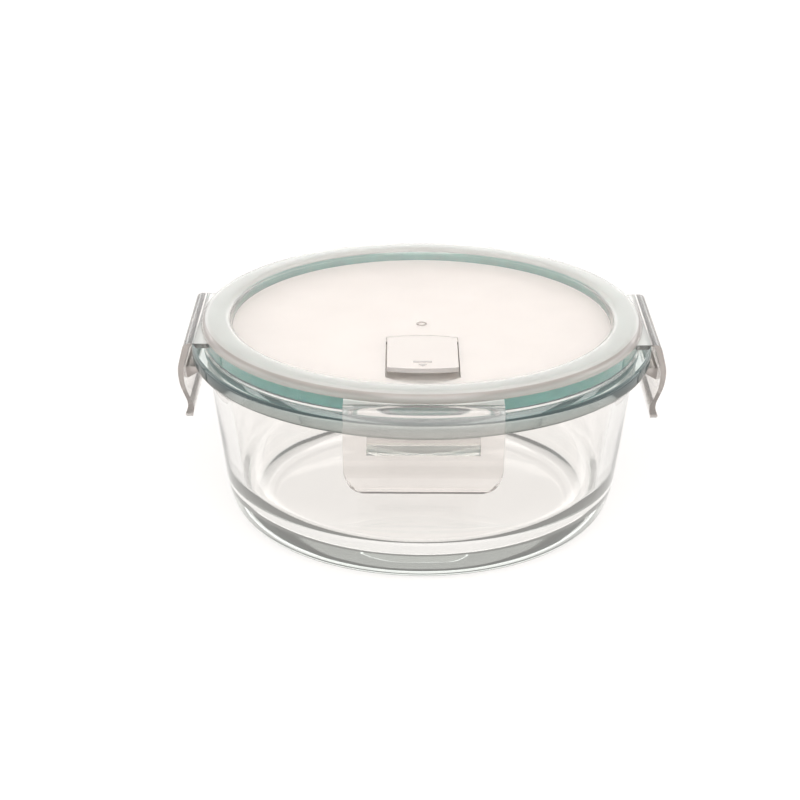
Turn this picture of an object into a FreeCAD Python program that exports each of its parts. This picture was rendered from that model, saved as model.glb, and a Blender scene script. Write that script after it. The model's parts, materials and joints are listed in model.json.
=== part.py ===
import FreeCAD, Part
import math
import os

# Round glass food container with a four-latch lid. Millimetres, +Z up, +X right, -Y to the front.
# The origin is the centre of the base, on the surface that the bowl stands on.

# glass bowl
BASE_R = 65.7                 # where the wall's line would meet the base
BASE_CORNER_IN = 6.0          # the soft bottom corner starts this far inside BASE_R
BASE_CORNER_UP = 14.0         # and runs this far up the wall
FOOT_R = 46.0                 # inner edge of the flat ring that the bowl stands on
DOME_H = 0.4                  # the underside rises by this much from the ring to the middle
FLOOR_Z = 6.2
CAVITY_BASE_R = 61.6          # where the inner wall's line would meet the floor
CAVITY_TOP_R = 68.3
WALL_TOP_R = 72.6             # outer wall where it meets the flange
FLANGE_R = 77.5
FLANGE_BOTTOM_Z = 55.2
FLANGE_TOP_Z = 60.05
LIP_R = 71.8
LIP_TOP_Z = 61.4

# lid
LID_TOP_Z = 69.0
RIM_R = 74.2
RIM_INNER_R = 63.8
RIM_WALL = 1.9
RIM_BOTTOM_Z = 65.9           # lower edge of the rim's outer band
RIM_SHOULDER = 3.0            # rounding of the rim's top, outside
RIM_INNER_SHOULDER = 2.6      # and inside
SKIRT_R = 73.95
SKIRT_INNER_R = 72.1
SKIRT_BOTTOM_Z = 60.4
PLUG_WALL_BOTTOM_Z = 59.4     # the inner wall reaches this far down into the bowl's mouth
GROOVE_TOP_Z = 67.3
PANEL_TOP_Z = 64.84
PANEL_T = 1.8

# gasket
GASKET_R = 71.9
GASKET_INNER_R = 65.9
GASKET_LEG_R = 67.75          # outside of the leg that reaches into the bowl's mouth
GASKET_LEG_BOTTOM_Z = 59.4

# latches and their living hinges, drawn with the outward direction along +X
LATCH_AZIMUTHS = {"right": 0, "back": 90, "left": 180, "front": 270}
LATCH_HALF_W = 24.5
LATCH_BOTTOM_Z = 37.5
LATCH_CORNER = 7.8            # radius of the two bottom corners, seen from the front
LATCH_T = 1.8                 # plate thickness, measured level
ROOT_R = 76.4                 # inside of the bend where the plate turns down from the hinge
SHOULDER_R = 78.0             # outside of the same bend
BELLY_R = 80.3                # the plate swells past the glass flange,
BELLY_TOP_Z = 57.0
BELLY_BOTTOM_Z = 51.5
BELLY_TAPER = 0.5
NECK_R = 76.9                 # draws in below it,
NECK_Z = 44.4
BEAD_R = 78.6                 # and ends in a thicker bead for the fingertip
BEAD_TOP_Z = 39.6
BEAD_TAPER = 0.6
BEAD_T = 2.2
HINGE_R = 75.0                # the hinge axis: its distance from the centre line
WEB_HALF = 0.3                # half the film's length, to each side of the hinge axis
WEB_T = 0.3
LUG_T = 1.6
LUG_TAPER = 0.7               # the lug's lower edge lies this far inside its upper edge
HOOK_HALF_W = 17.3
HOOK_TIP_R = 73.4
HOOK_TIP_T = 1.4
HOOK_TOP_Z = 54.9
HOOK_ROOT_R = 78.8            # inside the plate
HOOK_ROOT_BOTTOM_Z = 50.4

# vent: a flap in a pocket of the panel, with a finger notch in front of it
FLAP_HALF_W = 11.5
FLAP_T = 1.6
FLAP_BACK_Y = -15.7           # at the flap's corners
FLAP_BACK_BULGE = 1.9
FLAP_FRONT_Y = -41.6
FLAP_FRONT_BULGE = 1.3
FLAP_GAP = 0.4
FLAP_SWING_ROOM = 0.3         # more gap behind the flap, where its corners swing down
PIVOT_Y = -16.6
PIVOT_Z = 63.6
PIVOT_PIN_R = 0.8
PIVOT_PIN_OUT = 0.9           # how far each pin stands out of the flap's side
PIVOT_CLEARANCE = 0.05
POCKET_FLOOR_Z = 59.8
POCKET_WALL = 1.5
POCKET_FLOOR_T = 1.4
POCKET_WALL_TOP_Z = 64.34     # the pocket's walls end inside the panel's thickness
NOTCH_CORNER_Y = -50.0
NOTCH_BULGE = 5.4
VENT_Y = -30.0
VENT_HOLE_R = 2.15
PLUG_R = 3.3
PLUG_WAIST_R = 2.5
PLUG_NIB_R = 1.8
PLUG_NIB_H = 0.9
PLUG_GAP = 0.05               # between the closed plug and the pocket floor

# raised marks: a bar and an arrow on the flap, and a small ring behind it
MARK_H = 0.2
MARK_BAR = (6.0, 0.9)
MARK_BAR_Y = -37.2
MARK_ARROW_HALF = 1.3
MARK_ARROW_Y = -40.2
MARK_RING_Y = -2.8
MARK_RING_R = 1.8
MARK_RING_T = 0.6


def toward(start, end, distance):
    """The point that far from start, on the way to end."""
    length = math.dist(start, end)
    return tuple(a + (b - a) * distance / length for a, b in zip(start, end))


def rounding(before, corner, after):
    """Start, middle and end of the curve that rounds a corner, and whether it is an arc."""
    here = corner[:2]
    cut_in = corner[2] if len(corner) > 2 else 0.0
    cut_out = corner[3] if len(corner) > 3 else cut_in
    if not cut_in:
        return here, here, here, False
    start = toward(here, before[:2], cut_in)
    end = toward(here, after[:2], cut_out)
    if cut_in != cut_out:
        return start, here, end, False
    chord_middle = tuple((a + b) / 2 for a, b in zip(start, end))
    half_angle = math.acos(math.dist(here, chord_middle) / cut_in)
    to_centre = cut_in / math.cos(half_angle)
    radius = cut_in * math.tan(half_angle)
    return start, toward(here, chord_middle, to_centre - radius), end, True


def outline(corners, place):
    """A closed wire through the corners (u, v, cut), which place(u, v) puts in space.
    Each corner is rounded by an arc that starts and ends at its cut, or by a longer curve
    where it has two cuts, one before and one after."""
    count = len(corners)
    rounded = [rounding(corners[i - 1], corners[i], corners[(i + 1) % count]) for i in range(count)]
    edges = []
    for i, (start, middle, end, is_arc) in enumerate(rounded):
        last_end = rounded[i - 1][2]
        if math.dist(last_end, start) > 1e-6:
            edges.append(Part.makeLine(place(*last_end), place(*start)))
        if is_arc:
            edges.append(Part.Arc(place(*start), place(*middle), place(*end)).toShape())
        elif start != end:
            curve = Part.BezierCurve()
            curve.setPoles([place(*start), place(*middle), place(*end)])
            edges.append(curve.toShape())
    return Part.Wire(edges)


def in_section(r, z):
    return FreeCAD.Vector(r, 0, z)


def turned(corners, centre_y=0.0):
    """The solid of revolution of a section about the vertical line at y = centre_y."""
    solid = Part.Face(outline(corners, in_section)).revolve(
        FreeCAD.Vector(0, 0, 0), FreeCAD.Vector(0, 0, 1), 360
    )
    solid.translate(FreeCAD.Vector(0, centre_y, 0))
    return solid


def across(corners, half_width):
    """A section in the XZ plane, extruded to both sides along Y."""
    face = Part.Face(outline(corners, lambda r, z: FreeCAD.Vector(r, -half_width, z)))
    return face.extrude(FreeCAD.Vector(0, 2 * half_width, 0))


def at_azimuth(shape, azimuth):
    """A copy of a shape drawn with its outward direction along +X, turned to its place."""
    copy = shape.copy()
    copy.rotate(FreeCAD.Vector(0, 0, 0), FreeCAD.Vector(0, 0, 1), azimuth)
    return copy


def glass_bowl():
    outer = [
        (0, DOME_H),
        (FOOT_R, 0),
        (BASE_R, 0, BASE_CORNER_IN, BASE_CORNER_UP),
        (WALL_TOP_R, FLANGE_BOTTOM_Z, 1.0),
        (FLANGE_R, FLANGE_BOTTOM_Z, 1.3),
        (FLANGE_R, FLANGE_TOP_Z, 1.2),
        (LIP_R, FLANGE_TOP_Z, 0.4),
        (LIP_R, LIP_TOP_Z, 0.7),
    ]
    inner = [
        (CAVITY_TOP_R, LIP_TOP_Z, 1.0),
        (CAVITY_BASE_R, FLOOR_Z, 13.0),
        (0, FLOOR_Z),
    ]
    return turned(outer + inner)


def rim_and_panel():
    panel_bottom = PANEL_TOP_Z - PANEL_T
    wall_r = RIM_INNER_R + RIM_WALL
    return turned(
        [
            (0, PANEL_TOP_Z),
            (RIM_INNER_R, PANEL_TOP_Z, 0.4),
            (RIM_INNER_R, LID_TOP_Z, RIM_INNER_SHOULDER),
            (RIM_R, LID_TOP_Z, RIM_SHOULDER),
            (RIM_R, RIM_BOTTOM_Z),
            (SKIRT_R, RIM_BOTTOM_Z),
            (SKIRT_R, SKIRT_BOTTOM_Z, 0.5),
            (SKIRT_INNER_R, SKIRT_BOTTOM_Z, 0.3),
            (SKIRT_INNER_R, GROOVE_TOP_Z),
            (wall_r, GROOVE_TOP_Z),
            (wall_r, PLUG_WALL_BOTTOM_Z, 0.6),
            (RIM_INNER_R, PLUG_WALL_BOTTOM_Z, 0.6),
            (RIM_INNER_R, panel_bottom, 0.4),
            (0, panel_bottom),
        ]
    )


def hinge_lugs():
    """The four straight shelves at the rim that the latches hang from."""
    edge = HINGE_R - WEB_HALF
    section = [
        (RIM_R - 10, RIM_BOTTOM_Z),
        (edge, RIM_BOTTOM_Z),
        (edge, RIM_BOTTOM_Z - WEB_T),
        (edge - LUG_TAPER, RIM_BOTTOM_Z - LUG_T, 0.4),
        (RIM_R - 10, RIM_BOTTOM_Z - LUG_T),
    ]
    wall_middle = (SKIRT_R + SKIRT_INNER_R) / 2
    shelf = across(section, LATCH_HALF_W).cut(Part.makeCylinder(wall_middle, LID_TOP_Z))
    return [at_azimuth(shelf, azimuth) for azimuth in LATCH_AZIMUTHS.values()]


def plan_outline(half_width, back, back_bulge, front, front_bulge, z):
    """A plan shape with straight sides, and back and front edges that bulge by an arc."""
    left_back = FreeCAD.Vector(-half_width, back, z)
    right_back = FreeCAD.Vector(half_width, back, z)
    left_front = FreeCAD.Vector(-half_width, front, z)
    right_front = FreeCAD.Vector(half_width, front, z)
    middle_back = FreeCAD.Vector(0, back + back_bulge, z)
    middle_front = FreeCAD.Vector(0, front - front_bulge, z)
    return Part.Wire(
        [
            Part.Arc(left_back, middle_back, right_back).toShape(),
            Part.makeLine(right_back, right_front),
            Part.Arc(right_front, middle_front, left_front).toShape(),
            Part.makeLine(left_front, left_back),
        ]
    )


def pocket_shape(grow, bottom, top):
    """The vent pocket's plan, grown by a wall's thickness, between two heights."""
    wire = plan_outline(
        FLAP_HALF_W + FLAP_GAP + grow,
        FLAP_BACK_Y + FLAP_GAP + FLAP_SWING_ROOM + grow,
        FLAP_BACK_BULGE,
        NOTCH_CORNER_Y - grow,
        NOTCH_BULGE,
        bottom,
    )
    return Part.Face(wire).extrude(FreeCAD.Vector(0, 0, top - bottom))


def pivot_rod(radius, half_length):
    """A rod along the flap's pivot axis."""
    return Part.makeCylinder(
        radius,
        2 * half_length,
        FreeCAD.Vector(-half_length, PIVOT_Y, PIVOT_Z),
        FreeCAD.Vector(1, 0, 0),
    )


def lid():
    pocket_bottom = POCKET_FLOOR_Z - POCKET_FLOOR_T
    pocket_block = pocket_shape(POCKET_WALL, pocket_bottom, POCKET_WALL_TOP_Z)
    body = rim_and_panel().fuse([pocket_block, *hinge_lugs(), raised_ring()])
    pocket = pocket_shape(0, POCKET_FLOOR_Z, LID_TOP_Z)
    pin_reach = FLAP_HALF_W + PIVOT_PIN_OUT + 0.1
    seats = pivot_rod(PIVOT_PIN_R + PIVOT_CLEARANCE, pin_reach)
    vent_hole = Part.makeCylinder(
        VENT_HOLE_R, LID_TOP_Z - pocket_bottom, FreeCAD.Vector(0, VENT_Y, pocket_bottom - 1)
    )
    return body.cut([pocket, seats, vent_hole]).removeSplitter()


def raised_ring():
    """The small plain ring behind the flap."""
    return turned(
        [
            (MARK_RING_R - MARK_RING_T, PANEL_TOP_Z - 0.5),
            (MARK_RING_R, PANEL_TOP_Z - 0.5),
            (MARK_RING_R, PANEL_TOP_Z + MARK_H),
            (MARK_RING_R - MARK_RING_T, PANEL_TOP_Z + MARK_H),
        ],
        MARK_RING_Y,
    )


def gasket_ring():
    return turned(
        [
            (GASKET_INNER_R, GROOVE_TOP_Z, 0.5),
            (GASKET_R, GROOVE_TOP_Z, 0.5),
            (GASKET_R, LIP_TOP_Z, 0.6),
            (GASKET_LEG_R, LIP_TOP_Z, 0.3),
            (GASKET_LEG_R, GASKET_LEG_BOTTOM_Z, 0.4),
            (GASKET_INNER_R, GASKET_LEG_BOTTOM_Z, 0.6),
        ]
    )


def latch():
    """A latch with its outward direction along +X: a bent plate with a beaded lip, and the hook."""
    edge = HINGE_R + WEB_HALF
    plate = across(
        [
            (edge, RIM_BOTTOM_Z),
            (SHOULDER_R, RIM_BOTTOM_Z, 1.7),
            (BELLY_R, BELLY_TOP_Z, 2.4),
            (BELLY_R - BELLY_TAPER, BELLY_BOTTOM_Z, 2.3),
            (NECK_R, NECK_Z, 2.0),
            (BEAD_R, BEAD_TOP_Z, 0.8),
            (BEAD_R - BEAD_TAPER, LATCH_BOTTOM_Z, 0.5),
            (BEAD_R - BEAD_T, LATCH_BOTTOM_Z, 0.8),
            (NECK_R - LATCH_T, NECK_Z - LATCH_T / 2, 1.6),
            (BELLY_R - BELLY_TAPER - LATCH_T, BELLY_BOTTOM_Z - LATCH_T / 2, 2.2),
            (BELLY_R - LATCH_T, BELLY_TOP_Z, 2.4),
            (ROOT_R, RIM_BOTTOM_Z - LUG_T, 0.6),
            (edge, RIM_BOTTOM_Z - WEB_T),
        ],
        LATCH_HALF_W,
    )
    front_view = Part.Face(
        outline(
            [
                (-LATCH_HALF_W, LID_TOP_Z),
                (-LATCH_HALF_W, LATCH_BOTTOM_Z, LATCH_CORNER),
                (LATCH_HALF_W, LATCH_BOTTOM_Z, LATCH_CORNER),
                (LATCH_HALF_W, LID_TOP_Z),
            ],
            lambda y, z: FreeCAD.Vector(HINGE_R - 2, y, z),
        )
    ).extrude(FreeCAD.Vector(10, 0, 0))
    hook = across(
        [
            (HOOK_ROOT_R, HOOK_TOP_Z),
            (HOOK_TIP_R, HOOK_TOP_Z, 0.4),
            (HOOK_TIP_R, HOOK_TOP_Z - HOOK_TIP_T, 0.3),
            (HOOK_ROOT_R, HOOK_ROOT_BOTTOM_Z),
        ],
        HOOK_HALF_W,
    )
    return plate.common(front_view).fuse(hook).removeSplitter()


def hinge_web():
    """The film between a lug and its latch."""
    return across(
        [
            (HINGE_R - WEB_HALF, RIM_BOTTOM_Z),
            (HINGE_R + WEB_HALF, RIM_BOTTOM_Z),
            (HINGE_R + WEB_HALF, RIM_BOTTOM_Z - WEB_T),
            (HINGE_R - WEB_HALF, RIM_BOTTOM_Z - WEB_T),
        ],
        LATCH_HALF_W,
    )


def flat_polygon(points, z):
    corners = [FreeCAD.Vector(x, y, z) for x, y in points]
    return Part.Face(Part.makePolygon(corners + corners[:1]))


def vent_flap():
    bottom = PANEL_TOP_Z - FLAP_T
    plan = plan_outline(
        FLAP_HALF_W, FLAP_BACK_Y, FLAP_BACK_BULGE, FLAP_FRONT_Y, FLAP_FRONT_BULGE, bottom
    )
    plate = Part.Face(plan).extrude(FreeCAD.Vector(0, 0, FLAP_T))
    barrel = pivot_rod(PIVOT_PIN_R, FLAP_HALF_W + PIVOT_PIN_OUT)
    bar_w, bar_h = MARK_BAR
    bar = Part.makeBox(
        bar_w,
        bar_h,
        FLAP_T / 2 + MARK_H,
        FreeCAD.Vector(-bar_w / 2, MARK_BAR_Y - bar_h / 2, PANEL_TOP_Z - FLAP_T / 2),
    )
    half = MARK_ARROW_HALF
    arrow = flat_polygon(
        [(-half, MARK_ARROW_Y + half / 2), (half, MARK_ARROW_Y + half / 2), (0, MARK_ARROW_Y - half / 2)],
        PANEL_TOP_Z - FLAP_T / 2,
    ).extrude(FreeCAD.Vector(0, 0, FLAP_T / 2 + MARK_H))
    return plate.fuse([barrel, bar, arrow]).removeSplitter()


def vent_plug():
    """A button under the flap, a pad that lands on the pocket's floor, and a nib in the vent hole."""
    top = PANEL_TOP_Z - FLAP_T
    pad_bottom = POCKET_FLOOR_Z + PLUG_GAP
    return turned(
        [
            (0, top),
            (PLUG_R, top, 0.3),
            (PLUG_R, top - 1.2, 0.4),
            (PLUG_WAIST_R, top - 1.5, 0.3),
            (PLUG_WAIST_R, pad_bottom + 1.2, 0.3),
            (PLUG_R, pad_bottom + 0.8, 0.3),
            (PLUG_R - 0.2, pad_bottom, 0.2),
            (PLUG_NIB_R, pad_bottom),
            (PLUG_NIB_R - 0.4, pad_bottom - PLUG_NIB_H, 0.3),
            (0, pad_bottom - PLUG_NIB_H),
        ],
        VENT_Y,
    )


def main():
    os.makedirs("parts", exist_ok=True)
    nodes = {
        "glass_bowl": glass_bowl(),
        "lid": lid(),
        "gasket_ring": gasket_ring(),
        "vent_flap": vent_flap(),
        "vent_plug": vent_plug(),
    }
    for side, azimuth in LATCH_AZIMUTHS.items():
        nodes[f"latch_{side}"] = at_azimuth(latch(), azimuth)
        nodes[f"hinge_web_{side}"] = at_azimuth(hinge_web(), azimuth)
    for name, shape in nodes.items():
        solids = shape.Solids
        print(name, "valid" if shape.isValid() else "INVALID", len(solids), round(shape.Volume, 1))
        part = solids[0] if len(solids) == 1 else Part.makeCompound(solids)
        part.exportStep(f"parts/{name}.step")


main()
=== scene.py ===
import json
import math

import bmesh
import bpy
from mathutils import Matrix, Vector


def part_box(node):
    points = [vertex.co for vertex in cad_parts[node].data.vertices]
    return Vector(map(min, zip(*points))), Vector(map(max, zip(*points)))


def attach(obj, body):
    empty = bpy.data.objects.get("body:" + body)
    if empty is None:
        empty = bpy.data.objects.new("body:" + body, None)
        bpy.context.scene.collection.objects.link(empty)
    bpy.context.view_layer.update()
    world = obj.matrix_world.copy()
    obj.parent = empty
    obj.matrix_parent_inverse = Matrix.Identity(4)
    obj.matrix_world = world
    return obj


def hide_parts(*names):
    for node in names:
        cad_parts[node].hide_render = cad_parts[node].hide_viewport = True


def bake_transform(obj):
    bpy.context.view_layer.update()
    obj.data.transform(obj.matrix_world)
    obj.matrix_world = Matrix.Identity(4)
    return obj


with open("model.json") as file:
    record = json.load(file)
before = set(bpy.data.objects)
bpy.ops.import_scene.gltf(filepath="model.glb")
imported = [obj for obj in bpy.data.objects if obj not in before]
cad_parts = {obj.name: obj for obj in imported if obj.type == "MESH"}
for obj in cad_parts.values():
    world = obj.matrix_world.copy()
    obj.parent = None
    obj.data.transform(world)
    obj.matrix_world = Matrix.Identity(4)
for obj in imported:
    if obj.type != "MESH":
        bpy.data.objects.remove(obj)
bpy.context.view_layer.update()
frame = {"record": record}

MM = 0.001
BODY = "container"
SEGMENTS = 256                # steps round the bowl and the lid
SMOOTH_ANGLE = 35             # degrees; a sharper edge than this stays an edge
BEVEL_ANGLE = 50              # degrees; only edges sharper than this are bevelled
CONTACT_GAP = 0.05            # between pieces that touch, so that no two surfaces coincide
LATCH_AZIMUTHS = {"right": 0, "back": 90, "left": 180, "front": 270}
PANEL, SKIRT, SHADED_BAND, INNER_WALL, POCKET, RIM = range(6)    # the lid's materials, in their order


# ---------------------------------------------------------------- sizes, in millimetres

def box_of(node):
    """A CAD node's lowest and highest corner, in millimetres."""
    low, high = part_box(node)
    return Vector(low) / MM, Vector(high) / MM


joint_of = {joint["name"]: joint for joint in frame["record"]["behaviour"]["joints"]}
LATCH_AXIS = Vector(joint_of["latch_right_hinge"]["pos_m"]) / MM
FLAP_AXIS = Vector(joint_of["vent_flap_hinge"]["pos_m"]) / MM
HINGE_R = LATCH_AXIS.x

# glass bowl
BOWL_HIGH = box_of("glass_bowl")[1]
BASE_R = 65.7                 # where the wall's line would meet the base
BASE_CORNER_IN = 6.0          # the soft bottom corner starts this far inside BASE_R
BASE_CORNER_UP = 14.0         # and runs this far up the wall
FOOT_R = 46.0                 # inner edge of the flat ring that the bowl stands on
DOME_H = 0.4                  # the underside rises by this much from the ring to the middle
FLOOR_Z = 6.2
CAVITY_BASE_R = 61.6          # where the inner wall's line would meet the floor
CAVITY_TOP_R = 68.3
CAVITY_CORNER = 13.0
WALL_TOP_R = 72.6             # outer wall where it meets the flange
FLANGE_R = BOWL_HIGH.x
FLANGE_BOTTOM = 55.2
FLANGE_TOP = 60.05
LIP_R = FLANGE_R - 5.7
LIP_TOP = BOWL_HIGH.z

# lid
RIM_TOP = box_of("lid")[1].z
RIM_R = 74.2
RIM_INNER_R = 63.8
RIM_WALL = 1.9
RIM_SHOULDER = 3.0            # rounding of the rim's top, outside
RIM_INNER_SHOULDER = 2.6      # and inside
RIM_BAND_BOTTOM = LATCH_AXIS.z + 0.15
SKIRT_R = RIM_R - 0.25
SKIRT_INNER_R = 72.1
SKIRT_BOTTOM = 60.4
PLUG_WALL_BOTTOM = 59.4       # the inner wall reaches this far down into the bowl's mouth
GROOVE_TOP = RIM_TOP - 1.7
MARK_H = 0.2
PANEL_TOP = box_of("vent_flap")[1].z - MARK_H
PANEL_T = 1.8
MARK_RING_R = 1.8             # the small ring behind the flap
MARK_RING_T = 0.6
MARK_RING_Y = -2.8

# gasket
GASKET_R = 71.9
GASKET_INNER_R = 65.85
GASKET_LEG_R = 67.75          # outside of the leg that reaches into the bowl's mouth
GASKET_LEG_BOTTOM = 59.4

# latches and their films, drawn with the outward direction along +X
LATCH_LOW, LATCH_HIGH = box_of("latch_front")
LATCH_HALF_W = LATCH_HIGH.x
LATCH_BOTTOM = LATCH_LOW.z
LATCH_CORNER = 7.8            # radius of the two bottom corners, seen from the front
LATCH_T = 1.8                 # plate thickness, measured level
ROOT_R = 76.4                 # inside of the bend where the plate turns down from the hinge
SHOULDER_R = 78.0             # outside of the same bend
BELLY_R = 80.3                # the plate swells past the glass flange,
BELLY_TOP = 57.0
BELLY_BOTTOM = 51.5
BELLY_TAPER = 0.5
NECK_R = 76.9                 # draws in below it,
NECK_Z = 44.4
BEAD_R = 78.6                 # and ends in a thicker bead for the fingertip
BEAD_TOP = 39.6
BEAD_TAPER = 0.6
BEAD_T = 2.2
WEB_HALF = 0.3                # half the film's length, to each side of the hinge axis
WEB_T = 0.3
LUG_T = 1.6
LUG_TAPER = 0.7               # the lug's lower edge lies this far inside its upper edge
HOOK_HALF_W = 17.3
HOOK_TOP = 54.9
HOOK_TIP_R = 73.4
HOOK_TIP_T = 1.4
HOOK_ROOT_R = 78.8            # inside the plate
HOOK_ROOT_BOTTOM = 50.4

# vent: a flap in a pocket of the panel, with a finger notch in front of it
FLAP_HALF_W = 11.5
FLAP_T = 1.6
FLAP_BACK_Y = -15.7           # at the flap's corners
FLAP_BACK_BULGE = 1.9
FLAP_FRONT_Y = -41.6
FLAP_FRONT_BULGE = 1.3
FLAP_GAP = 0.4
FLAP_SWING_ROOM = 0.3         # more gap behind the flap, where its corners swing down
PIN_R = 0.8
PIN_OUT = 0.9                 # how far each pin stands out of the flap's side
POCKET_WALL = 1.5
POCKET_FLOOR = 59.8
POCKET_FLOOR_T = 1.4
NOTCH_CORNER_Y = -50.0
NOTCH_BULGE = 5.4
VENT_Y = -30.0
VENT_HOLE_R = 2.15
PLUG_R = 3.3
PLUG_WAIST_R = 2.5
PLUG_NIB_R = 1.8
PLUG_NIB_H = 0.9
MARK_BAR = (6.0, 0.9)         # the bar on the flap
MARK_BAR_Y = -37.2
MARK_ARROW_HALF = 1.3         # and the triangle in front of it
MARK_ARROW_Y = -40.2


# ---------------------------------------------------------------- outlines

def rounded(corners, steps=8):
    """Points of a closed outline of (u, v, cut) corners in millimetres, each corner rounded from
    its cut before to its cut after: an arc, or a longer curve where there are two cuts."""
    points = []
    count = len(corners)
    for i, corner in enumerate(corners):
        here = Vector(corner[:2])
        cut_in = corner[2] if len(corner) > 2 else 0.0
        cut_out = corner[3] if len(corner) > 3 else cut_in
        if not cut_in:
            points.append(here)
            continue
        before = (Vector(corners[i - 1][:2]) - here).normalized()
        after = (Vector(corners[(i + 1) % count][:2]) - here).normalized()
        start, end = here + before * cut_in, here + after * cut_out
        weight = 1.0 if cut_in != cut_out else math.sqrt((1 - before.dot(after)) / 2)
        for k in range(steps + 1):
            t = k / steps
            a, b, c = (1 - t) ** 2, 2 * t * (1 - t) * weight, t * t
            points.append((start * a + here * b + end * c) / (a + b + c))
    return [p * MM for p in points]


# ---------------------------------------------------------------- meshes

def new_object(name, bm):
    """An object from a bmesh, shaded smooth except at edges sharper than SMOOTH_ANGLE."""
    bmesh.ops.recalc_face_normals(bm, faces=bm.faces)
    mesh = bpy.data.meshes.new(name)
    bm.to_mesh(mesh)
    bm.free()
    for polygon in mesh.polygons:
        polygon.use_smooth = True
    mesh.set_sharp_from_angle(angle=math.radians(SMOOTH_ANGLE))
    obj = bpy.data.objects.new(name, mesh)
    bpy.context.scene.collection.objects.link(obj)
    return obj


def lathe(name, points, segments=SEGMENTS):
    """A solid of revolution about Z from a closed (r, z) outline in metres."""
    bm = bmesh.new()
    rings = []
    for point in points:
        if point.x < 1e-6:
            rings.append([bm.verts.new((0, 0, point.y))])
            continue
        ring = []
        for k in range(segments):
            angle = 2 * math.pi * k / segments
            ring.append(bm.verts.new((point.x * math.cos(angle), point.x * math.sin(angle), point.y)))
        rings.append(ring)
    for i, ring in enumerate(rings):
        following = rings[(i + 1) % len(rings)]
        if len(ring) == 1 and len(following) == 1:
            continue
        for k in range(segments):
            corners = [
                ring[k % len(ring)],
                ring[(k + 1) % len(ring)],
                following[(k + 1) % len(following)],
                following[k % len(following)],
            ]
            unique = list(dict.fromkeys(corners))
            bm.faces.new(unique)
    return new_object(name, bm)


def upright(u, v, w):
    """Leaves an outline level, to be extruded upward."""
    return (u, v, w)


def prism(name, outline, low, high, place=upright):
    """An outline extruded from low to high, all in metres; place(u, v, w) is the point in space."""
    bm = bmesh.new()
    bottom = [bm.verts.new(place(p.x, p.y, low)) for p in outline]
    top = [bm.verts.new(place(p.x, p.y, high)) for p in outline]
    bm.faces.new(bottom)
    bm.faces.new(top[::-1])
    for i in range(len(outline)):
        k = (i + 1) % len(outline)
        bm.faces.new([bottom[i], bottom[k], top[k], top[i]])
    return new_object(name, bm)


def across(name, corners, half_width):
    """A section in the XZ plane, in millimetres, extruded to both sides along Y."""
    return prism(
        name, rounded(corners), -half_width * MM, half_width * MM, lambda u, v, w: (u, w, v)
    )


def circle(radius, segments=32):
    """Points of a circle round the origin; the radius is in millimetres."""
    angles = [2 * math.pi * k / segments for k in range(segments)]
    return [Vector((math.cos(angle), math.sin(angle))) * radius * MM for angle in angles]


def applied(obj):
    """Bakes an object's modifiers into its mesh."""
    depsgraph = bpy.context.evaluated_depsgraph_get()
    mesh = bpy.data.meshes.new_from_object(obj.evaluated_get(depsgraph))
    obj.modifiers.clear()
    obj.data = mesh
    return obj


def combine(obj, other, operation):
    """A boolean of two objects, kept in the first; the second is deleted."""
    modifier = obj.modifiers.new("combine", "BOOLEAN")
    modifier.operation = operation
    modifier.solver = "MANIFOLD"
    modifier.object = other
    applied(obj)
    bpy.data.objects.remove(other)
    return obj


def bevelled(obj, width, segments=2):
    """Rounds an object's sharp edges by a width in millimetres."""
    modifier = obj.modifiers.new("bevel", "BEVEL")
    modifier.width = width * MM
    modifier.segments = segments
    modifier.limit_method = "ANGLE"
    modifier.angle_limit = math.radians(BEVEL_ANGLE)
    modifier.harden_normals = True
    return applied(obj)


def moved(obj, y):
    """Moves a mesh along Y by millimetres."""
    obj.data.transform(Matrix.Translation((0, y * MM, 0)))
    return obj


def turn(obj, azimuth):
    """Turns a mesh about Z by degrees."""
    obj.data.transform(Matrix.Rotation(math.radians(azimuth), 4, "Z"))
    return obj


# ---------------------------------------------------------------- the glass bowl

def glass_bowl():
    outline = [
        (0, DOME_H),
        (FOOT_R, 0),
        (BASE_R, 0, BASE_CORNER_IN, BASE_CORNER_UP),
        (WALL_TOP_R, FLANGE_BOTTOM, 1.0),
        (FLANGE_R, FLANGE_BOTTOM, 1.3),
        (FLANGE_R, FLANGE_TOP, 1.2),
        (LIP_R, FLANGE_TOP, 0.4),
        (LIP_R, LIP_TOP, 0.7),
        (CAVITY_TOP_R, LIP_TOP, 1.0),
        (CAVITY_BASE_R, FLOOR_Z, CAVITY_CORNER),
        (0, FLOOR_Z),
    ]
    obj = lathe("bowl", rounded(outline, steps=12))
    finish_piece(obj, "glass_bowl", BODY, glass_material("clear_glass"))
    obj.data.materials.append(flange_material())
    # the flange's faces take the glass with painted shade and light
    for polygon in obj.data.polygons:
        middle = polygon.center / MM
        beyond_wall = middle.xy.length > WALL_TOP_R - 0.2
        polygon.material_index = int(beyond_wall and middle.z > FLANGE_BOTTOM - 0.1)


# ---------------------------------------------------------------- the lid

def arc_drop(x, half_width, bulge):
    """How far an arc of that bulge stands off its chord at x."""
    radius = (half_width**2 + bulge**2) / (2 * bulge)
    return math.sqrt(radius**2 - x**2) - (radius - bulge)


def plan(half_width, back, back_bulge, front, front_bulge):
    """Plan outline with straight sides and bulged back and front edges."""
    steps = 24
    points = []
    for k in range(steps + 1):
        t = 2 * k / steps - 1
        points.append(Vector((half_width * t, back + back_bulge * (1 - t * t))))
    for k in range(steps + 1):
        x = half_width * (1 - 2 * k / steps)
        points.append(Vector((x, front - arc_drop(x, half_width, front_bulge))))
    return [p * MM for p in points]


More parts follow.
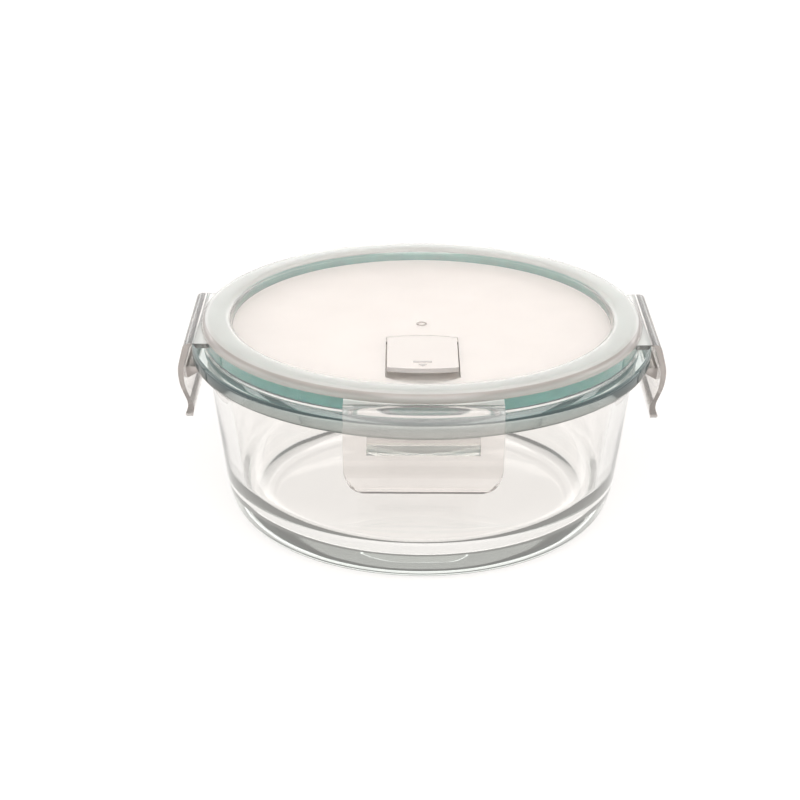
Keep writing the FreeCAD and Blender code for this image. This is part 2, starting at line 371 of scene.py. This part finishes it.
def pocket_plan(grow):
    """The pocket with its finger notch seen from above, larger by that much all round."""
    return plan(
        FLAP_HALF_W + FLAP_GAP + grow,
        FLAP_BACK_Y + FLAP_GAP + FLAP_SWING_ROOM + grow,
        FLAP_BACK_BULGE,
        NOTCH_CORNER_Y - grow,
        NOTCH_BULGE,
    )


def pivot_rod(name, half_length, radius):
    """A rod along the flap's pivot axis."""
    return prism(
        name,
        circle(radius),
        -half_length * MM,
        half_length * MM,
        lambda u, v, w: (w, FLAP_AXIS.y * MM + u, FLAP_AXIS.z * MM + v),
    )


def rim_and_panel():
    wall_r = RIM_INNER_R + RIM_WALL
    outline = [
        (0, PANEL_TOP),
        (RIM_INNER_R, PANEL_TOP, 0.4),
        (RIM_INNER_R, RIM_TOP, RIM_INNER_SHOULDER),
        (RIM_R, RIM_TOP, RIM_SHOULDER),
        (RIM_R, RIM_BAND_BOTTOM, 0.12),
        (SKIRT_R, RIM_BAND_BOTTOM),
        (SKIRT_R, SKIRT_BOTTOM, 0.5),
        (SKIRT_INNER_R, SKIRT_BOTTOM, 0.3),
        (SKIRT_INNER_R, GROOVE_TOP, 0.3),
        (wall_r, GROOVE_TOP, 0.3),
        (wall_r, PLUG_WALL_BOTTOM, 0.6),
        (RIM_INNER_R, PLUG_WALL_BOTTOM, 0.6),
        (RIM_INNER_R, PANEL_TOP - PANEL_T, 0.4),
        (0, PANEL_TOP - PANEL_T),
    ]
    return lathe("lid_moulding", rounded(outline))


def lid():
    obj = rim_and_panel()
    pocket_bottom = (POCKET_FLOOR - POCKET_FLOOR_T) * MM
    walls_top = (PANEL_TOP - 0.5) * MM
    combine(obj, prism("block", pocket_plan(POCKET_WALL), pocket_bottom, walls_top), "UNION")
    for azimuth in LATCH_AZIMUTHS.values():
        combine(obj, turn(hinge_lug(), azimuth), "UNION")
    combine(obj, raised_ring(), "UNION")
    combine(obj, prism("pocket", pocket_plan(0), POCKET_FLOOR * MM, RIM_TOP * MM), "DIFFERENCE")
    seats = pivot_rod("seats", FLAP_HALF_W + PIN_OUT + 0.1, PIN_R + CONTACT_GAP)
    combine(obj, seats, "DIFFERENCE")
    hole_low, hole_high = (POCKET_FLOOR - 2) * MM, (POCKET_FLOOR + 1) * MM
    vent_hole = moved(prism("hole", circle(VENT_HOLE_R), hole_low, hole_high), VENT_Y)
    combine(obj, vent_hole, "DIFFERENCE")
    bevelled(obj, 0.18)
    finish_piece(obj, "lid", BODY, lid_material())
    for material in (
        lid_skirt_material(),
        lid_painted_shade_material(),
        lid_wall_material(),
        lid_pocket_painted_light_material(),
        lid_rim_material(),
    ):
        obj.data.materials.append(material)
    for polygon in obj.data.polygons:
        polygon.material_index = lid_region(polygon.center / MM, polygon.normal)


def raised_ring():
    """The small plain ring behind the flap."""
    inner_r, low, high = MARK_RING_R - MARK_RING_T, PANEL_TOP - 0.5, PANEL_TOP + MARK_H
    section = [(inner_r, low), (MARK_RING_R, low), (MARK_RING_R, high), (inner_r, high)]
    return moved(lathe("ring", rounded(section), segments=48), MARK_RING_Y)


def lid_region(middle, normal):
    """Which of the lid's materials a face has; its middle is in millimetres. The rim's sideways band
    and the raised ring are painted darker for shade, the pocket is painted lighter to lift its shade,
    and the hinge lugs have the skirt's."""
    r = middle.xy.length
    on_lug = r > RIM_R + 0.05
    below_band = r > 70 and middle.z < RIM_BAND_BOTTOM - 0.1
    if on_lug or below_band:
        return SKIRT
    # painted shade: the rim's outer faces that turn sideways get the darker band material
    if r > RIM_R - 2.4 and normal.z < 0.8:
        return SHADED_BAND
    if RIM_INNER_R - 0.3 < r < 67 and abs(normal.z) < 0.75:
        return INNER_WALL
    # painted shade on the raised ring behind the flap
    if r < 6 and middle.z > PANEL_TOP + 0.03:
        return SHADED_BAND
    near_vent = abs(middle.x) < FLAP_HALF_W + 1.5 and -60 < middle.y < -12
    # painted light: the pocket and notch get a lighter copy of the plastic, lifting the shade in the
    # recess
    if near_vent and middle.z < PANEL_TOP - 0.3:
        return POCKET
    if r > RIM_INNER_R:
        return RIM
    return PANEL


def hinge_lug():
    """The bar on the lid's wall that a latch's film is joined to."""
    edge = HINGE_R - WEB_HALF
    back, bottom = edge - 8, RIM_BAND_BOTTOM - LUG_T
    outline = [
        (back, RIM_BAND_BOTTOM),
        (edge, RIM_BAND_BOTTOM),
        (edge, RIM_BAND_BOTTOM - WEB_T),
        (edge - LUG_TAPER, bottom, 0.4),
        (back, bottom),
    ]
    lug = across("lug", outline, LATCH_HALF_W)
    inside_wall = 73.0
    core_section = [(0, 80), (inside_wall, 80), (inside_wall, 50), (0, 50)]
    return combine(lug, lathe("core", rounded(core_section)), "DIFFERENCE")


# ---------------------------------------------------------------- the gasket, latches and vent

def gasket():
    top, bottom = GROOVE_TOP - CONTACT_GAP, LIP_TOP + CONTACT_GAP
    outline = [
        (GASKET_INNER_R, top, 0.5),
        (GASKET_R, top, 0.5),
        (GASKET_R, bottom, 0.6),
        (GASKET_LEG_R, bottom, 0.3),
        (GASKET_LEG_R, GASKET_LEG_BOTTOM, 0.4),
        (GASKET_INNER_R, GASKET_LEG_BOTTOM, 0.6),
    ]
    obj = lathe("gasket", rounded(outline))
    silicone = silicone_material("teal_silicone", (0.13, 0.42, 0.36))
    finish_piece(obj, "gasket_ring", BODY, silicone)


def latch_plate():
    """The bent plate with its beaded lip, cut to its rounded front view."""
    edge, top, bottom = HINGE_R + WEB_HALF, RIM_BAND_BOTTOM, LATCH_BOTTOM
    plate = across(
        "plate",
        [
            (edge, top),
            (SHOULDER_R, top, 1.7),
            (BELLY_R, BELLY_TOP, 2.4),
            (BELLY_R - BELLY_TAPER, BELLY_BOTTOM, 2.3),
            (NECK_R, NECK_Z, 2.0),
            (BEAD_R, BEAD_TOP, 0.8),
            (BEAD_R - BEAD_TAPER, bottom, 0.5),
            (BEAD_R - BEAD_T, bottom, 0.8),
            (NECK_R - LATCH_T, NECK_Z - LATCH_T / 2, 1.6),
            (BELLY_R - BELLY_TAPER - LATCH_T, BELLY_BOTTOM - LATCH_T / 2, 2.2),
            (BELLY_R - LATCH_T, BELLY_TOP, 2.4),
            (ROOT_R, top - LUG_T, 0.6),
            (edge, top - WEB_T),
        ],
        LATCH_HALF_W,
    )
    spare = 0.001
    half_width, low = LATCH_HALF_W + spare, bottom - spare
    front_view = [
        (-half_width, 70),
        (-half_width, low, LATCH_CORNER),
        (half_width, low, LATCH_CORNER),
        (half_width, 70),
    ]
    mask = prism(
        "mask", rounded(front_view, steps=16), 72 * MM, 83 * MM, lambda u, v, w: (w, u, v)
    )
    return combine(plate, mask, "INTERSECT")


def latch(side, azimuth, material, edge_material):
    obj = latch_plate()
    hook = across(
        "hook",
        [
            (HOOK_ROOT_R, HOOK_TOP),
            (HOOK_TIP_R, HOOK_TOP, 0.4),
            (HOOK_TIP_R, HOOK_TOP - HOOK_TIP_T, 0.3),
            (HOOK_ROOT_R, HOOK_ROOT_BOTTOM),
        ],
        HOOK_HALF_W,
    )
    bevelled(combine(obj, hook, "UNION"), 0.4, segments=3)
    obj.name = f"latch_{side}_clip"
    lip_top = (LATCH_BOTTOM + 0.9) * MM
    at_edge = [
        abs(p.normal.y) > 0.35 or (p.normal.z < -0.35 and p.center.z < lip_top)
        for p in obj.data.polygons
    ]
    finish_piece(turn(obj, azimuth), f"latch_{side}", f"latch_{side}", material)
    obj.data.materials.append(edge_material)
    for polygon, edged in zip(obj.data.polygons, at_edge):
        polygon.material_index = int(edged)


def hinge_web(side, azimuth, material):
    """The bending film: a closed strip finely divided across the hinge line. It reaches a little
    way into the lug and the plate."""
    bm = bmesh.new()
    top, bottom, half, steps = RIM_BAND_BOTTOM, RIM_BAND_BOTTOM - WEB_T, WEB_HALF + 0.06, 12
    rows = []
    for k in range(steps + 1):
        r = HINGE_R - half + 2 * half * k / steps
        section = ((-1, top), (1, top), (1, bottom), (-1, bottom))
        rows.append([bm.verts.new(Vector((r, end * LATCH_HALF_W, z)) * MM) for end, z in section])
    for row, following in zip(rows, rows[1:]):
        for i in range(4):
            bm.faces.new([row[i], row[(i + 1) % 4], following[(i + 1) % 4], following[i]])
    bm.faces.new(rows[0])
    bm.faces.new(rows[-1])
    obj = turn(new_object(f"hinge_film_{side}", bm), azimuth)
    obj.data.materials.append(material)
    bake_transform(obj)
    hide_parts(f"hinge_web_{side}")


def flap_marks():
    """The outlines of the bar and the triangle that stand on the flap, in millimetres."""
    half_w, half_h = MARK_BAR[0] / 2, MARK_BAR[1] / 2
    bar_low, bar_high = MARK_BAR_Y - half_h, MARK_BAR_Y + half_h
    half = MARK_ARROW_HALF
    arrow_low, arrow_high = MARK_ARROW_Y - half / 2, MARK_ARROW_Y + half / 2
    bar = [(-half_w, bar_low), (half_w, bar_low), (half_w, bar_high), (-half_w, bar_high)]
    arrow = [(-half, arrow_high), (half, arrow_high), (0, arrow_low)]
    return bar, arrow


def vent_flap(material, painted_shade_material):
    flap_plan = plan(FLAP_HALF_W, FLAP_BACK_Y, FLAP_BACK_BULGE, FLAP_FRONT_Y, FLAP_FRONT_BULGE)
    obj = prism("vent_flap_plate", flap_plan, (PANEL_TOP - FLAP_T) * MM, PANEL_TOP * MM)
    combine(obj, pivot_rod("pins", FLAP_HALF_W + PIN_OUT, PIN_R), "UNION")
    for outline in flap_marks():
        mark = prism("mark", rounded(outline), (PANEL_TOP - 0.5) * MM, (PANEL_TOP + MARK_H) * MM)
        combine(obj, mark, "UNION")
    bevelled(obj, 0.15)
    finish_piece(obj, "vent_flap", "vent_flap", material)
    obj.data.materials.append(painted_shade_material)
    # the flap's sides and raised marks take the painted shade
    for polygon in obj.data.polygons:
        at_side = abs(polygon.normal.z) < 0.5
        at_mark = polygon.center.z > (PANEL_TOP + 0.03) * MM
        polygon.material_index = int(at_side or at_mark)


def vent_plug():
    top = PANEL_TOP - FLAP_T - 0.02
    pad = POCKET_FLOOR + CONTACT_GAP
    nib_bottom = pad - PLUG_NIB_H
    outline = [
        (0, top),
        (PLUG_R, top, 0.3),
        (PLUG_R, top - 1.2, 0.4),
        (PLUG_WAIST_R, top - 1.5, 0.3),
        (PLUG_WAIST_R, pad + 1.2, 0.3),
        (PLUG_R, pad + 0.8, 0.3),
        (PLUG_R - 0.2, pad, 0.2),
        (PLUG_NIB_R, pad),
        (PLUG_NIB_R - 0.4, nib_bottom, 0.3),
        (0, nib_bottom),
    ]
    obj = moved(lathe("vent_plug_button", rounded(outline), segments=64), VENT_Y)
    silicone = silicone_material("plug_silicone", (0.55, 0.68, 0.64))
    finish_piece(obj, "vent_plug", "vent_flap", silicone)


def finish_piece(obj, node, body, material):
    """Gives a piece its material and lets it ride a body in place of its CAD node."""
    obj.data.materials.clear()
    obj.data.materials.append(material)
    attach(obj, body)
    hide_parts(node)


# ---------------------------------------------------------------- materials

def new_material(name):
    material = bpy.data.materials.new(name)
    material.use_nodes = True
    nodes = material.node_tree.nodes
    return material, nodes, material.node_tree.links, nodes["Principled BSDF"]


def position_noise(nodes, links, scale, detail):
    """Noise in the piece's own place, so it stays on the surface; scale is features per metre."""
    place = nodes.new("ShaderNodeTexCoord")
    noise = nodes.new("ShaderNodeTexNoise")
    noise.inputs["Scale"].default_value = scale
    noise.inputs["Detail"].default_value = detail
    links.new(place.outputs["Object"], noise.inputs["Vector"])
    return noise.outputs["Fac"]


def height_of(nodes, links, coordinates):
    """The Z of a texture coordinate."""
    place = nodes.new("ShaderNodeTexCoord")
    axes = nodes.new("ShaderNodeSeparateXYZ")
    links.new(place.outputs[coordinates], axes.inputs["Vector"])
    return axes.outputs["Z"]


def colour_stops(nodes, links, source, stops):
    """Colours that change with a value, through (value, colour) stops in rising order."""
    node = nodes.new("ShaderNodeValToRGB")
    elements = node.color_ramp.elements
    elements[0].position, elements[1].position = stops[0][0], stops[-1][0]
    for value, _ in stops[1:-1]:
        elements.new(value)
    for element, (_, colour) in zip(elements, stops):
        element.color = (*colour, 1)
    links.new(source, node.inputs["Fac"])
    return node.outputs["Color"]


def clouded(nodes, links, source, low, high):
    """Maps a noise to colours between low and high."""
    return colour_stops(nodes, links, source, [(0.3, low), (0.7, high)])


def blend_by(nodes, links, factor, low, high):
    """A value that goes from low to high with a 0 to 1 factor."""
    node = nodes.new("ShaderNodeMapRange")
    node.inputs["To Min"].default_value = low
    node.inputs["To Max"].default_value = high
    links.new(factor, node.inputs["Value"])
    return node.outputs["Result"]


def add_bump(nodes, links, shader, source, distance, strength):
    bump = nodes.new("ShaderNodeBump")
    bump.inputs["Strength"].default_value = strength
    bump.inputs["Distance"].default_value = distance
    links.new(source, bump.inputs["Height"])
    links.new(bump.outputs["Normal"], shader.inputs["Normal"])


def absorb(material, colour, density):
    """Colours the light by its way through the piece."""
    nodes, links = material.node_tree.nodes, material.node_tree.links
    absorption = nodes.new("ShaderNodeVolumeAbsorption")
    absorption.inputs["Color"].default_value = (*colour, 1)
    absorption.inputs["Density"].default_value = density
    links.new(absorption.outputs["Volume"], nodes["Material Output"].inputs["Volume"])


def glass_material(name):
    """Clear glass with faint waves. The small glow stands in for the light that is lost inside
    thick glass: strongest low in the base, warm at the flange's side and teal at its top."""
    material, nodes, links, shader = new_material(name)
    shader.inputs["Base Color"].default_value = (0.97, 0.955, 0.945, 1)
    shader.inputs["Roughness"].default_value = 0.0
    shader.inputs["IOR"].default_value = 1.474
    shader.inputs["Transmission Weight"].default_value = 1.0
    base_glow, wall_glow = (4.6, 4.5, 4.3), (0.5, 0.5, 0.48)
    side_glow, top_glow = (1.5, 1.3, 1.1), (1.1, 2.0, 2.1)
    stops = [
        (12 * MM, base_glow),
        (24 * MM, wall_glow),
        (50 * MM, wall_glow),
        (56 * MM, side_glow),
        (59 * MM, top_glow),
    ]
    glow = colour_stops(nodes, links, height_of(nodes, links, "Object"), stops)
    links.new(glow, shader.inputs["Emission Color"])
    shader.inputs["Emission Strength"].default_value = 0.012
    waves = position_noise(nodes, links, 45.0, detail=1.0)
    add_bump(nodes, links, shader, waves, 0.0002, 0.35)
    absorb(material, (0.5, 0.53, 0.51), 16.0)
    return material


def flange_material():
    """Glass with painted light and shade by height: the flange's lower corner is a painted dark line
    for shade, its side is clear, and its top is painted teal, for the light that a thick edge gathers
    from the wall below it."""
    material = glass_material("flange_glass")
    nodes, links = material.node_tree.nodes, material.node_tree.links
    # edge is painted shade, a dark line at the flange's lower corner; top is painted teal light
    side, edge, top = (1.0, 0.97, 0.94), (0.02, 0.025, 0.02), (0.40, 0.66, 0.68)
    above_bottom = [(0.02, side), (0.10, edge), (1.05, edge), (1.3, side), (4.0, side), (4.8, top)]
    stops = [((FLANGE_BOTTOM + height) * MM, colour) for height, colour in above_bottom]
    painted_edge_shading = colour_stops(nodes, links, height_of(nodes, links, "Object"), stops)
    shader = nodes["Principled BSDF"]
    links.new(painted_edge_shading, shader.inputs["Base Color"])
    shader.inputs["Emission Strength"].default_value = 0.035
    return material


def plastic_material(name, low, high, transmission, roughness):
    """Translucent polypropylene: milky colour and satin finish, both with faint flow clouds."""
    material, nodes, links, shader = new_material(name)
    clouds = position_noise(nodes, links, 60.0, detail=3.0)
    links.new(clouded(nodes, links, clouds, low, high), shader.inputs["Base Color"])
    patches = position_noise(nodes, links, 160.0, detail=2.0)
    links.new(
        blend_by(nodes, links, patches, roughness - 0.04, roughness + 0.05), shader.inputs["Roughness"]
    )
    shader.inputs["IOR"].default_value = 1.49
    shader.inputs["Transmission Weight"].default_value = transmission
    return material


def lid_material():
    return plastic_material("lid_plastic", (0.94, 0.885, 0.845), (0.97, 0.915, 0.875), 0.42, 0.5)


def lid_rim_material():
    return plastic_material("lid_rim", (0.90, 0.885, 0.85), (0.93, 0.915, 0.88), 0.65, 0.2)


def lid_skirt_material():
    return plastic_material("lid_skirt", (0.95, 0.95, 0.94), (0.98, 0.98, 0.975), 0.97, 0.04)


# Painted shade: a darker copy of the lid's plastic, for faces that turn away from the light.
def lid_painted_shade_material():
    return plastic_material("lid_band", (0.48, 0.435, 0.405), (0.53, 0.48, 0.45), 0.5, 0.15)


def lid_wall_material():
    return plastic_material("lid_wall", (0.95, 0.945, 0.93), (0.98, 0.975, 0.96), 0.85, 0.12)


# Painted light: lighter than the panel's plastic, to lift the shade that falls in the pocket.
def lid_pocket_painted_light_material():
    return plastic_material("lid_pocket", (0.95, 0.92, 0.89), (0.98, 0.95, 0.92), 0.45, 0.3)


def clip_material():
    material = plastic_material("clip_plastic", (0.88, 0.855, 0.84), (0.91, 0.885, 0.87), 0.93, 0.06)
    absorb(material, (0.6, 0.525, 0.425), 36.0)
    return material


def clip_edge_material():
    """The clip's cut edges, which look darker because light runs along inside the plate."""
    return plastic_material("clip_edge", (0.40, 0.365, 0.34), (0.46, 0.42, 0.395), 0.6, 0.15)


def flap_material():
    return plastic_material("flap_plastic", (0.86, 0.80, 0.755), (0.89, 0.83, 0.785), 0.3, 0.3)


# Painted shade: a darker copy of the flap's plastic for its sides and raised marks, standing in for
# the shade in the gap round the flap and beside the marks.
def flap_painted_shade_material():
    return plastic_material("flap_edge", (0.66, 0.63, 0.61), (0.72, 0.69, 0.67), 0.4, 0.2)


def silicone_material(name, colour):
    material, nodes, links, shader = new_material(name)
    darker = tuple(c * 0.85 for c in colour)
    clouds = position_noise(nodes, links, 150.0, detail=3.0)
    links.new(clouded(nodes, links, clouds, darker, colour), shader.inputs["Base Color"])
    shader.inputs["Roughness"].default_value = 0.45
    shader.inputs["IOR"].default_value = 1.43
    shader.inputs["Subsurface Weight"].default_value = 0.3
    shader.inputs["Subsurface Scale"].default_value = 0.003
    fine = position_noise(nodes, links, 1800.0, detail=2.0)
    add_bump(nodes, links, shader, fine, 0.00002, 0.4)
    return material


# ---------------------------------------------------------------- stage

def floor():
    bm = bmesh.new()
    bmesh.ops.create_grid(bm, x_segments=1, y_segments=1, size=20)
    obj = new_object("floor", bm)
    obj.location.z = -0.2 * MM
    material, nodes, links, shader = new_material("floor_paper")
    shader.inputs["Roughness"].default_value = 0.8
    tone = position_noise(nodes, links, 3.0, detail=2.0)
    paper = clouded(nodes, links, tone, (0.21, 0.205, 0.20), (0.23, 0.225, 0.22))
    links.new(paper, shader.inputs["Base Color"])
    shader.inputs["Emission Color"].default_value = (1, 0.985, 0.97, 1)
    shader.inputs["Emission Strength"].default_value = 0.78
    obj.data.materials.append(material)


def studio():
    """A pale room, brightest a little above the horizon, and one soft light from the front."""
    world = bpy.data.worlds.new("studio")
    bpy.context.scene.world = world
    world.use_nodes = True
    nodes, links = world.node_tree.nodes, world.node_tree.links
    horizon, bright, overhead = (0.95, 0.94, 0.92), (2.6, 2.6, 2.6), (0.78, 0.77, 0.76)
    stops = [(0.11, horizon), (0.16, bright), (0.28, bright), (0.38, overhead)]
    sky = colour_stops(nodes, links, height_of(nodes, links, "Generated"), stops)
    links.new(sky, nodes["Background"].inputs["Color"])
    nodes["Background"].inputs["Strength"].default_value = 1.0
    softbox("key_softbox", (0.05, -0.95, 1.05), size=1.0, power=12.0)


def softbox(name, place, size, power):
    data = bpy.data.lights.new(name, "AREA")
    data.size = size
    data.energy = power
    obj = bpy.data.objects.new(name, data)
    bpy.context.scene.collection.objects.link(obj)
    obj.location = place
    obj.rotation_euler = (-Vector(place)).to_track_quat("-Z", "Y").to_euler()


def camera():
    """The camera that was fitted to the photograph."""
    data = bpy.data.cameras.new("camera")
    data.sensor_width = 36
    data.lens = 85.8
    obj = bpy.data.objects.new("camera", data)
    bpy.context.scene.collection.objects.link(obj)
    place = Vector((-0.0073, -0.6044, 0.2915))
    aim = Vector((-0.0072, 0, 0.03585))
    roll = math.radians(0.23)
    look = (aim - place).to_track_quat("-Z", "Y")
    obj.rotation_mode = "QUATERNION"
    obj.rotation_quaternion = look @ Matrix.Rotation(roll, 4, "Z").to_quaternion()
    obj.location = place
    bpy.context.scene.camera = obj


# ---------------------------------------------------------------- everything

camera()
floor()
studio()
glass_bowl()
lid()
gasket()
clip_plastic = clip_material()
clip_edge = clip_edge_material()
for side, azimuth in LATCH_AZIMUTHS.items():
    latch(side, azimuth, clip_plastic, clip_edge)
    hinge_web(side, azimuth, clip_plastic)
vent_flap(flap_material(), flap_painted_shade_material())
vent_plug()
bpy.context.scene.view_settings.view_transform = "Standard"
